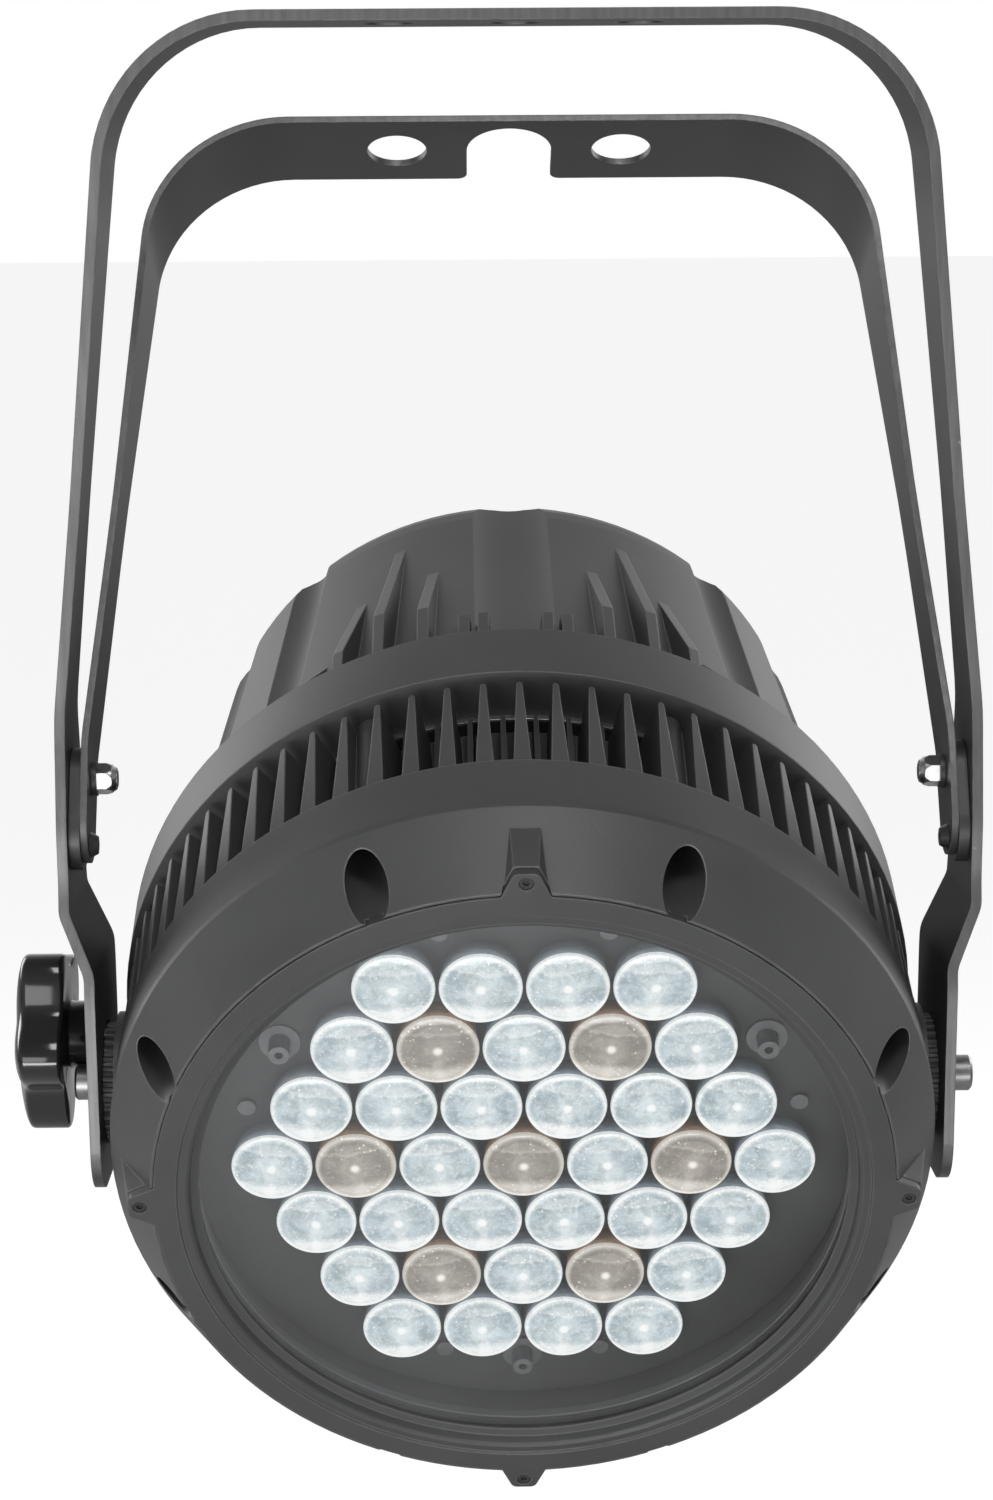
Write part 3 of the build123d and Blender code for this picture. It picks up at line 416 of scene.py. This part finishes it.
def lens_material(name, deep, mid, light, glow, cloud_span, fill, facet_span, weight):
    """Lit clear optic drawn as painted light, an emission with painted highlights and painted
    shade, shaded from the mesh attributes lens_uv and lens_id.

    lens_uv is the place across the lens (-1..1 twice) and up its barrel (above 1 on the
    face). deep, mid and light colour the face, and glow the barrel. fill holds the share
    of cloud and halo in the deep-to-mid mix, and weight the share of each highlight.
    """
    g = new_graph(name)
    place = g.node("ShaderNodeAttribute", attribute_name="lens_uv").outputs["Vector"]
    lens_id = Value(g, g.node("ShaderNodeAttribute", attribute_name="lens_id"), "Fac")
    u, v, side = g.split(place)
    radius = (u * u + v * v).sqrt()
    # the id moves the noises, so that no two lenses look alike
    seed = g.node("ShaderNodeCombineXYZ",
                  {0: lens_id * 7.3, 1: lens_id * 3.1, 2: lens_id * 5.7})
    vector = g.node("ShaderNodeVectorMath", {0: place, 1: seed}, operation="ADD").outputs[0]
    cloud = g.noise(scale=2.2, detail=4.0, rough=0.6, vector=vector, distortion=0.6)
    facet = g.noise(scale=7.5, detail=3.0, rough=0.7, vector=vector, distortion=1.2)
    glint = g.voronoi(scale=6.0, vector=vector)
    fine_glint = g.voronoi(scale=11.0, vector=vector)

    # painted highlights: bright foot of the dome and pale cap, both with a wavy border
    wave = v + (cloud - 0.5) * 0.30
    foot = (wave * -1.0).step(start=0.30, end=0.62)
    cap = wave.step(start=0.50, end=0.60) * wave.step(start=0.95, end=0.70)
    cap_line = (wave - 0.53).abs().step(start=0.07, end=0.0)
    # painted rings near the rim: a bright ring, a darker ringlet and a band of painted shade
    # at the edge
    rim = radius.step(start=0.84, end=0.955)
    ringlet = (radius - 0.80).abs().step(start=0.06, end=0.01)
    rim_painted_shade = (radius - 0.985).abs().step(start=0.03, end=0.0)
    # painted image of the emitter and its halo, a little above the middle
    spot_v = 0.10
    core = (u * u + (v - spot_v) * (v - spot_v)).sqrt()
    spot = core.step(start=0.17, end=0.03)
    halo = core.step(start=0.62, end=0.05)
    # painted sparks scattered over the face, and a painted streak down the lower half
    spark = (glint.step(start=0.22, end=0.06) * radius.step(start=0.25, end=0.80)
             * facet.step(start=0.40, end=0.52))
    fine_spark = (fine_glint.step(start=0.22, end=0.05) * radius.step(start=0.15, end=0.9)
                  * facet.step(start=0.44, end=0.56))
    streak = ((u + (cloud - 0.5) * 0.5).abs().step(start=0.22, end=0.02)
              * (v * -1.0).step(start=-0.1, end=0.35))

    # cloud and facet are painted light: patches of brighter and darker glow across the face
    base_mix = cloud.step(*cloud_span) * fill["cloud"] + halo * fill["halo"]
    lit = (foot * weight["foot"] + rim * weight["rim"] - ringlet * weight["ringlet"]
           + cap * weight["cap"] + cap_line * weight["cap_line"] + spot * weight["spot"]
           + spark * weight["spark"] + fine_spark * weight["fine_spark"]
           + streak * weight["streak"] + halo * weight["halo"]
           + facet.step(*facet_span) * weight["facet"])
    face = g.mix(base_mix.clamp(), deep, mid)
    face = g.mix(lit.clamp(), face, light)
    # painted shade in a thin band at the rim
    face = g.mix(rim_painted_shade * 0.35, face, shade(mid, 0.5))

    # barrel: clear wall with a painted glow, bright under the lip and fading to the mask
    wall = side.step(start=0.0, end=1.0)
    streaks = g.noise(scale=5.0, detail=3.0, rough=0.6, vector=vector)
    lip = side.step(start=0.55, end=0.97)
    barrel_light = (wall * 0.12 + lip * 0.22
                    + streaks.step(start=0.45, end=0.72) * 0.14 * wall).clamp()
    barrel = g.mix(barrel_light, shade(glow, 0.035), shade(glow, 0.80))

    on_face = side.step(start=0.995, end=1.005)
    emission = g.emission(color=g.mix(on_face, barrel, face), strength=1.0)
    gloss = g.gloss(roughness=0.06)
    return g.done(g.mix_shader(g.fresnel(ior=1.45) * 0.75, emission, gloss))


def make_led_phosphor():
    g = new_graph("led_phosphor")
    cells = g.voronoi(scale=900.0)
    color = g.mix(cells.step(start=0.0, end=0.5), (1.0, 0.93, 0.62), (0.92, 0.86, 0.50))
    return g.done(g.emission(color=color, strength=1.5))


cover_glass = make_cover_glass()
lens_cool_lit = lens_material(
    "lens_cool_lit", deep=(0.33, 0.41, 0.45), mid=(0.66, 0.755, 0.805),
    light=(0.985, 1.0, 1.0), glow=(0.62, 0.74, 0.84),
    cloud_span=(0.30, 0.70), fill=dict(cloud=0.75, halo=0.35), facet_span=(0.46, 0.66),
    weight=dict(foot=0.80, rim=0.72, ringlet=0.16, cap=0.26, cap_line=0.30, spot=1.0,
                spark=1.0, fine_spark=0.8, streak=0.30, halo=0.20, facet=0.34))
lens_warm_lit = lens_material(
    "lens_warm_lit", deep=(0.26, 0.235, 0.21), mid=(0.56, 0.525, 0.475),
    light=(0.98, 0.93, 0.86), glow=(0.72, 0.50, 0.36),
    cloud_span=(0.35, 0.75), fill=dict(cloud=0.35, halo=0.30), facet_span=(0.5, 0.7),
    weight=dict(foot=0.55, rim=0.50, ringlet=0.10, cap=0.10, cap_line=0.20, spot=1.0,
                spark=0.9, fine_spark=0.6, streak=0.16, halo=0.04, facet=0.16))
led_phosphor = make_led_phosphor()


# ---------------------------------------------------------------------------
# Lenses, in mm in head axes
# ---------------------------------------------------------------------------
LENS_PITCH = 24.0
LENS_R = 11.6                # outer radius that scales lens_uv
BARREL_R = LENS_R - 0.02     # widest radius of the turned shape
LENS_Z = 43.2                # top of the dome
FACE_FOOT_Z = LENS_Z - 2.8   # vertices above this belong to the face
MASK_Z = 33.0                # front of the mask around the lenses
BARREL_FOOT_Z = MASK_Z + 0.05
DOME_R, DOME_DROP, DOME_STEPS = 11.1, 2.0, 10
STEM_R, STEM_FOOT_Z = 8.78, 24.6
LENS_SEGMENTS = 44
MAX_TURN = 0.16              # largest random turn of the face pattern, radians


def lens_places():
    """Hexagonal field of 37 places in rows of 4, 5, 6, 7, 6, 5 and 4."""
    places = []
    for row in range(-3, 4):
        count = 7 - abs(row)
        for k in range(count):
            places.append(((k - (count - 1) / 2) * LENS_PITCH,
                           row * LENS_PITCH * math.sqrt(3) / 2))
    return places


def is_warm(place):
    """The middle lens and the six lying two pitches from it are warm."""
    distance = math.hypot(*place)
    return abs(distance - 2 * LENS_PITCH) < 0.5 or distance < 1


def lens_profile():
    """(radius, z) from the top of the dome down to the middle of the foot."""
    dome = []
    for k in range(DOME_STEPS + 1):
        radius = DOME_R * math.sin(k / DOME_STEPS * math.pi / 2)
        dome.append((radius, LENS_Z - DOME_DROP * (radius / DOME_R) ** 2.2))
    return dome + [
        (11.42, LENS_Z - 2.35), (BARREL_R, LENS_Z - 2.75), (BARREL_R, LENS_Z - 3.5),
        (11.45, LENS_Z - 4.4), (11.28, LENS_Z - 6.4), (11.12, LENS_Z - 8.4),
        (11.05, BARREL_FOOT_Z), (STEM_R, BARREL_FOOT_Z), (STEM_R, STEM_FOOT_Z),
        (0, STEM_FOOT_Z)]


def build_lenses(name, places, material, first):
    """One mesh of lenses, numbered from first + 1."""
    bm = bmesh.new()
    uv_layer = bm.verts.layers.float_vector.new("lens_uv")
    id_layer = bm.verts.layers.float.new("lens_id")
    rng = random.Random(7 + first)
    for i, (center_x, center_y) in enumerate(places):
        turn = rng.uniform(-MAX_TURN, MAX_TURN)
        cos_turn, sin_turn = math.cos(turn), math.sin(turn)
        for vert in lathe(bm, lens_profile(), LENS_SEGMENTS):
            x, y, z = vert.co / MM
            if z > FACE_FOOT_Z:
                side = 1.02
            else:
                side = max(0.0, min(0.98, (z - MASK_Z) / (FACE_FOOT_Z - MASK_Z)))
            vert[uv_layer] = ((x * cos_turn - y * sin_turn) / LENS_R,
                              (x * sin_turn + y * cos_turn) / LENS_R, side)
            vert[id_layer] = first + i + 1
            vert.co += Vector((center_x * MM, center_y * MM, 0))
    return add_head_part(bm, name, material, sharp=50)


cool_places = [place for place in lens_places() if not is_warm(place)]
warm_places = [place for place in lens_places() if is_warm(place)]
for name, places, material, first, node_name, slot in (
        ("cool_lens_array", cool_places, lens_cool_lit, 0, "lenses_cool", "lens_clear"),
        ("warm_lens_array", warm_places, lens_warm_lit, 50, "lenses_warm", "lens_amber")):
    lenses = build_lenses(name, places, material, first)
    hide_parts(node_name)
    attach(lenses, "zoom")


# ---------------------------------------------------------------------------
# CAD pieces that keep their shape: piece and its finish
# ---------------------------------------------------------------------------
FINISHES = {
    "stand_pivot_studs": bolt_steel, "stand_washers": nylon, "tilt_pivot_bolts": bolt_steel,
    "knob_stud": bolt_steel, "knob_washer": black_oxide, "stand_spacers": nylon,
    "stand_stop_screws": black_oxide, "friction_discs": nylon, "tilt_bushes": brass,
    "front_glass": cover_glass, "glass_gasket": seal_rubber, "sink_seal": seal_rubber,
    "heat_sink": aluminium, "led_board": white_board, "led_board_screws": steel,
    "led_emitters": led_phosphor, "lens_carrier": aluminium, "lens_mask": mask_black,
    "zoom_bushes": dark_nickel, "zoom_nut": dark_nickel, "mask_screws": dark_nickel,
    "guide_posts": dark_nickel, "zoom_lead_screw": dark_nickel, "zoom_motor": black_oxide,
    "housing_screws": black_oxide, "bezel_screws": black_oxide, "panel_screws": black_oxide,
    "display_window": display_smoke, "display_module": green_board,
    "menu_key_1": key_rubber, "menu_key_2": key_rubber, "menu_key_3": key_rubber,
    "menu_key_4": key_rubber, "key_board": green_board, "power_inlet": socket_blue,
    "power_outlet": socket_grey, "data_in_socket": socket_black,
    "data_out_socket": socket_black, "safety_eye": steel, "electronics_tray": steel,
    "power_supply": aluminium, "led_driver_board": green_board, "board_standoffs": nylon,
    "stand_lock_nuts": zinc, "main_yoke": yoke_coat, "stand_yoke": stand_coat,
    "front_housing": housing_coat, "bezel_ring": bezel_shaded_coat, "rear_cover": cover_coat,
    "end_panel": panel_coat,
}
for node_name, material in FINISHES.items():
    mesh = nodes[node_name].data
    mesh.materials.clear()
    mesh.materials.append(material)


# ---------------------------------------------------------------------------
# Lock knob: domed star with soft lobes on a round stem, in mm in head axes
# ---------------------------------------------------------------------------
KNOB_X = -149.3                          # outer end; depths run from here towards +X
KNOB_OFFSET = 15.6                       # from the tilt axis to the knob's own axis
KNOB_Y = KNOB_OFFSET * math.cos(math.radians(60))
KNOB_Z = -KNOB_OFFSET * math.sin(math.radians(60))
KNOB_SEGMENTS = 150
STAR_R, LOBE_DEPTH, LOBES = 24.35, 3.6, 5
BORE_R, BORE_END = 3.02, 5.3             # stud bore and the depth where it stops
# depth, share of the full star outline
STAR_STATIONS = [
    (0.05, 0.22), (0.2, 0.40), (0.6, 0.56), (1.15, 0.70), (1.8, 0.82),
    (2.5, 0.91), (3.05, 0.957), (3.6, 0.984), (4.3, 0.997), (5.0, 1.0),
    (9.5, 1.0), (14.1, 1.0), (14.6, 0.995), (15.0, 0.980), (15.25, 0.955)]
# depth, radius: back face, stem, then in through the bore
STEM_STATIONS = [
    (15.3, 20.0), (15.3, 11.2), (15.6, 10.35), (16.3, 10.0), (22.5, 10.0),
    (22.95, 9.6), (23.0, 6.0), (23.0, BORE_R), (BORE_END, BORE_R)]


def build_knob():
    bm = bmesh.new()

    def pole(depth):
        return [bm.verts.new(((KNOB_X + depth) * MM, KNOB_Y * MM, KNOB_Z * MM))]

    def ring(depth, radius, lobe=0.0, share=1.0):
        verts = []
        for i in range(KNOB_SEGMENTS):
            angle = 2 * math.pi * i / KNOB_SEGMENTS
            reach = share * (radius + lobe * math.cos(LOBES * angle))
            verts.append(bm.verts.new(((KNOB_X + depth) * MM,
                                       (KNOB_Y + reach * math.cos(angle)) * MM,
                                       (KNOB_Z + reach * math.sin(angle)) * MM)))
        return verts

    rings = [pole(0.02)]
    rings += [ring(depth, STAR_R, LOBE_DEPTH, share) for depth, share in STAR_STATIONS]
    rings += [ring(depth, radius) for depth, radius in STEM_STATIONS]
    rings.append(pole(BORE_END))
    skin_rings(bm, rings)
    return add_head_part(bm, "star_knob", knob_gloss, sharp=42)


knob = build_knob()
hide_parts("tilt_knob")
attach(knob, "knob")

# Eased edges on the plain sheet and turned pieces: piece and bevel width in mm
EASED_EDGES = {"main_yoke": 0.35, "stand_yoke": 0.3, "stand_spacers": 0.4, "end_panel": 0.25}
for node_name, width in EASED_EDGES.items():
    bevel = nodes[node_name].modifiers.new("eased_edges", "BEVEL")
    bevel.width = width * MM
    bevel.segments = 2
    bevel.limit_method = "ANGLE"
    bevel.angle_limit = math.radians(45)
    bevel.use_clamp_overlap = True
    bevel.harden_normals = False


# ---------------------------------------------------------------------------
# Floor, sky, lights and camera, in metres
# ---------------------------------------------------------------------------
FLOOR_Z = TILT_Z - 0.34
FLOOR_HALF = 30.0


def floor_material():
    """Near white to the camera, a plain mid grey to all other rays."""
    g = new_graph("pale_floor")
    camera_ray = Value(g, g.node("ShaderNodeLightPath"), "Is Camera Ray")
    pale = g.node("ShaderNodeBsdfDiffuse", {"Color": (0.30, 0.30, 0.30, 1)})
    lift = g.emission(color=(1, 1, 1, 1), strength=0.80)
    seen = g.node("ShaderNodeAddShader", {0: pale, 1: lift})
    unseen = g.node("ShaderNodeBsdfDiffuse", {"Color": (0.62, 0.62, 0.625, 1)})
    return g.done(g.mix_shader(camera_ray, unseen, seen))


def build_floor():
    mesh = bpy.data.meshes.new("floor")
    half = FLOOR_HALF
    mesh.from_pydata([(-half, -half, 0), (half, -half, 0), (half, half, 0), (-half, half, 0)],
                     [], [(0, 1, 2, 3)])
    floor = bpy.data.objects.new("floor", mesh)
    floor.location = (0, 0, FLOOR_Z)
    bpy.context.scene.collection.objects.link(floor)
    mesh.materials.append(floor_material())


def build_sky():
    """White to the camera; its light is stronger low down and towards +Y."""
    world = bpy.data.worlds.new("studio")
    bpy.context.scene.world = world
    g = Graph(world, output="ShaderNodeOutputWorld")
    x, y, z = g.split(g.node("ShaderNodeTexCoord").outputs["Generated"])
    by_height = z.step(start=-0.1, end=0.9, low=0.85, high=0.30, smooth=False)
    by_depth = y.step(start=0.05, end=0.85, low=0.80, high=1.95)
    lighting = g.node("ShaderNodeBackground", {"Strength": by_height * by_depth})
    backdrop = g.node("ShaderNodeBackground", {"Strength": 1.0, "Color": (1, 1, 1, 1)})
    camera_ray = Value(g, g.node("ShaderNodeLightPath"), "Is Camera Ray")
    g.done(g.mix_shader(camera_ray, lighting, backdrop))


def area_light(name, place, target, size, power):
    light = bpy.data.lights.new(name, "AREA")
    light.shape = "RECTANGLE"
    light.size, light.size_y = size
    light.energy = power
    lamp = bpy.data.objects.new(name, light)
    lamp.location = place
    aim = Vector(target) - Vector(place)
    lamp.rotation_euler = aim.to_track_quat("-Z", "Y").to_euler()
    bpy.context.scene.collection.objects.link(lamp)


def build_camera():
    """Camera in front of the head (-Y) and above it, looking slightly down."""
    data = bpy.data.cameras.new("camera")
    camera = bpy.data.objects.new("camera", data)
    bpy.context.scene.collection.objects.link(camera)
    place = (-0.01705, -0.86258, TILT_Z + 0.25458)
    forward = Vector((0.014437, 0.973959, -0.226263)).normalized()
    up = Vector((0.010339, 0.226129, 0.974042))
    right = forward.cross(up).normalized()
    up = right.cross(forward).normalized()
    rows = [(right[i], up[i], -forward[i], place[i]) for i in range(3)]
    camera.matrix_world = Matrix(rows + [(0, 0, 0, 1)])
    data.sensor_fit = "VERTICAL"
    data.sensor_height = 36.0
    data.lens = 72.4968
    data.shift_x = -0.00566667
    data.shift_y = 0.1
    data.clip_start = 0.01
    data.clip_end = 100
    bpy.context.scene.camera = camera


build_floor()
build_sky()
area_light("key_top", place=(0.10, -0.75, 0.85), target=(0, -0.05, -0.3),
           size=(0.45, 0.45), power=5.5)
area_light("side_left", place=(-0.95, 0.75, 0.10), target=(-0.05, 0.05, -0.25),
           size=(0.5, 0.9), power=5.0)
area_light("side_right", place=(0.95, 0.75, 0.10), target=(0.05, 0.05, -0.25),
           size=(0.5, 0.9), power=5.0)
area_light("fill_front", place=(-0.45, -1.15, -0.20), target=(0, -0.1, -0.3),
           size=(0.6, 0.5), power=3.0)
area_light("low_front", place=(-0.15, -0.95, -0.66), target=(0, -0.1, -0.35),
           size=(1.0, 0.4), power=15.0)
build_camera()
bpy.context.scene.view_settings.view_transform = "Standard"
bpy.context.scene.view_settings.look = "None"
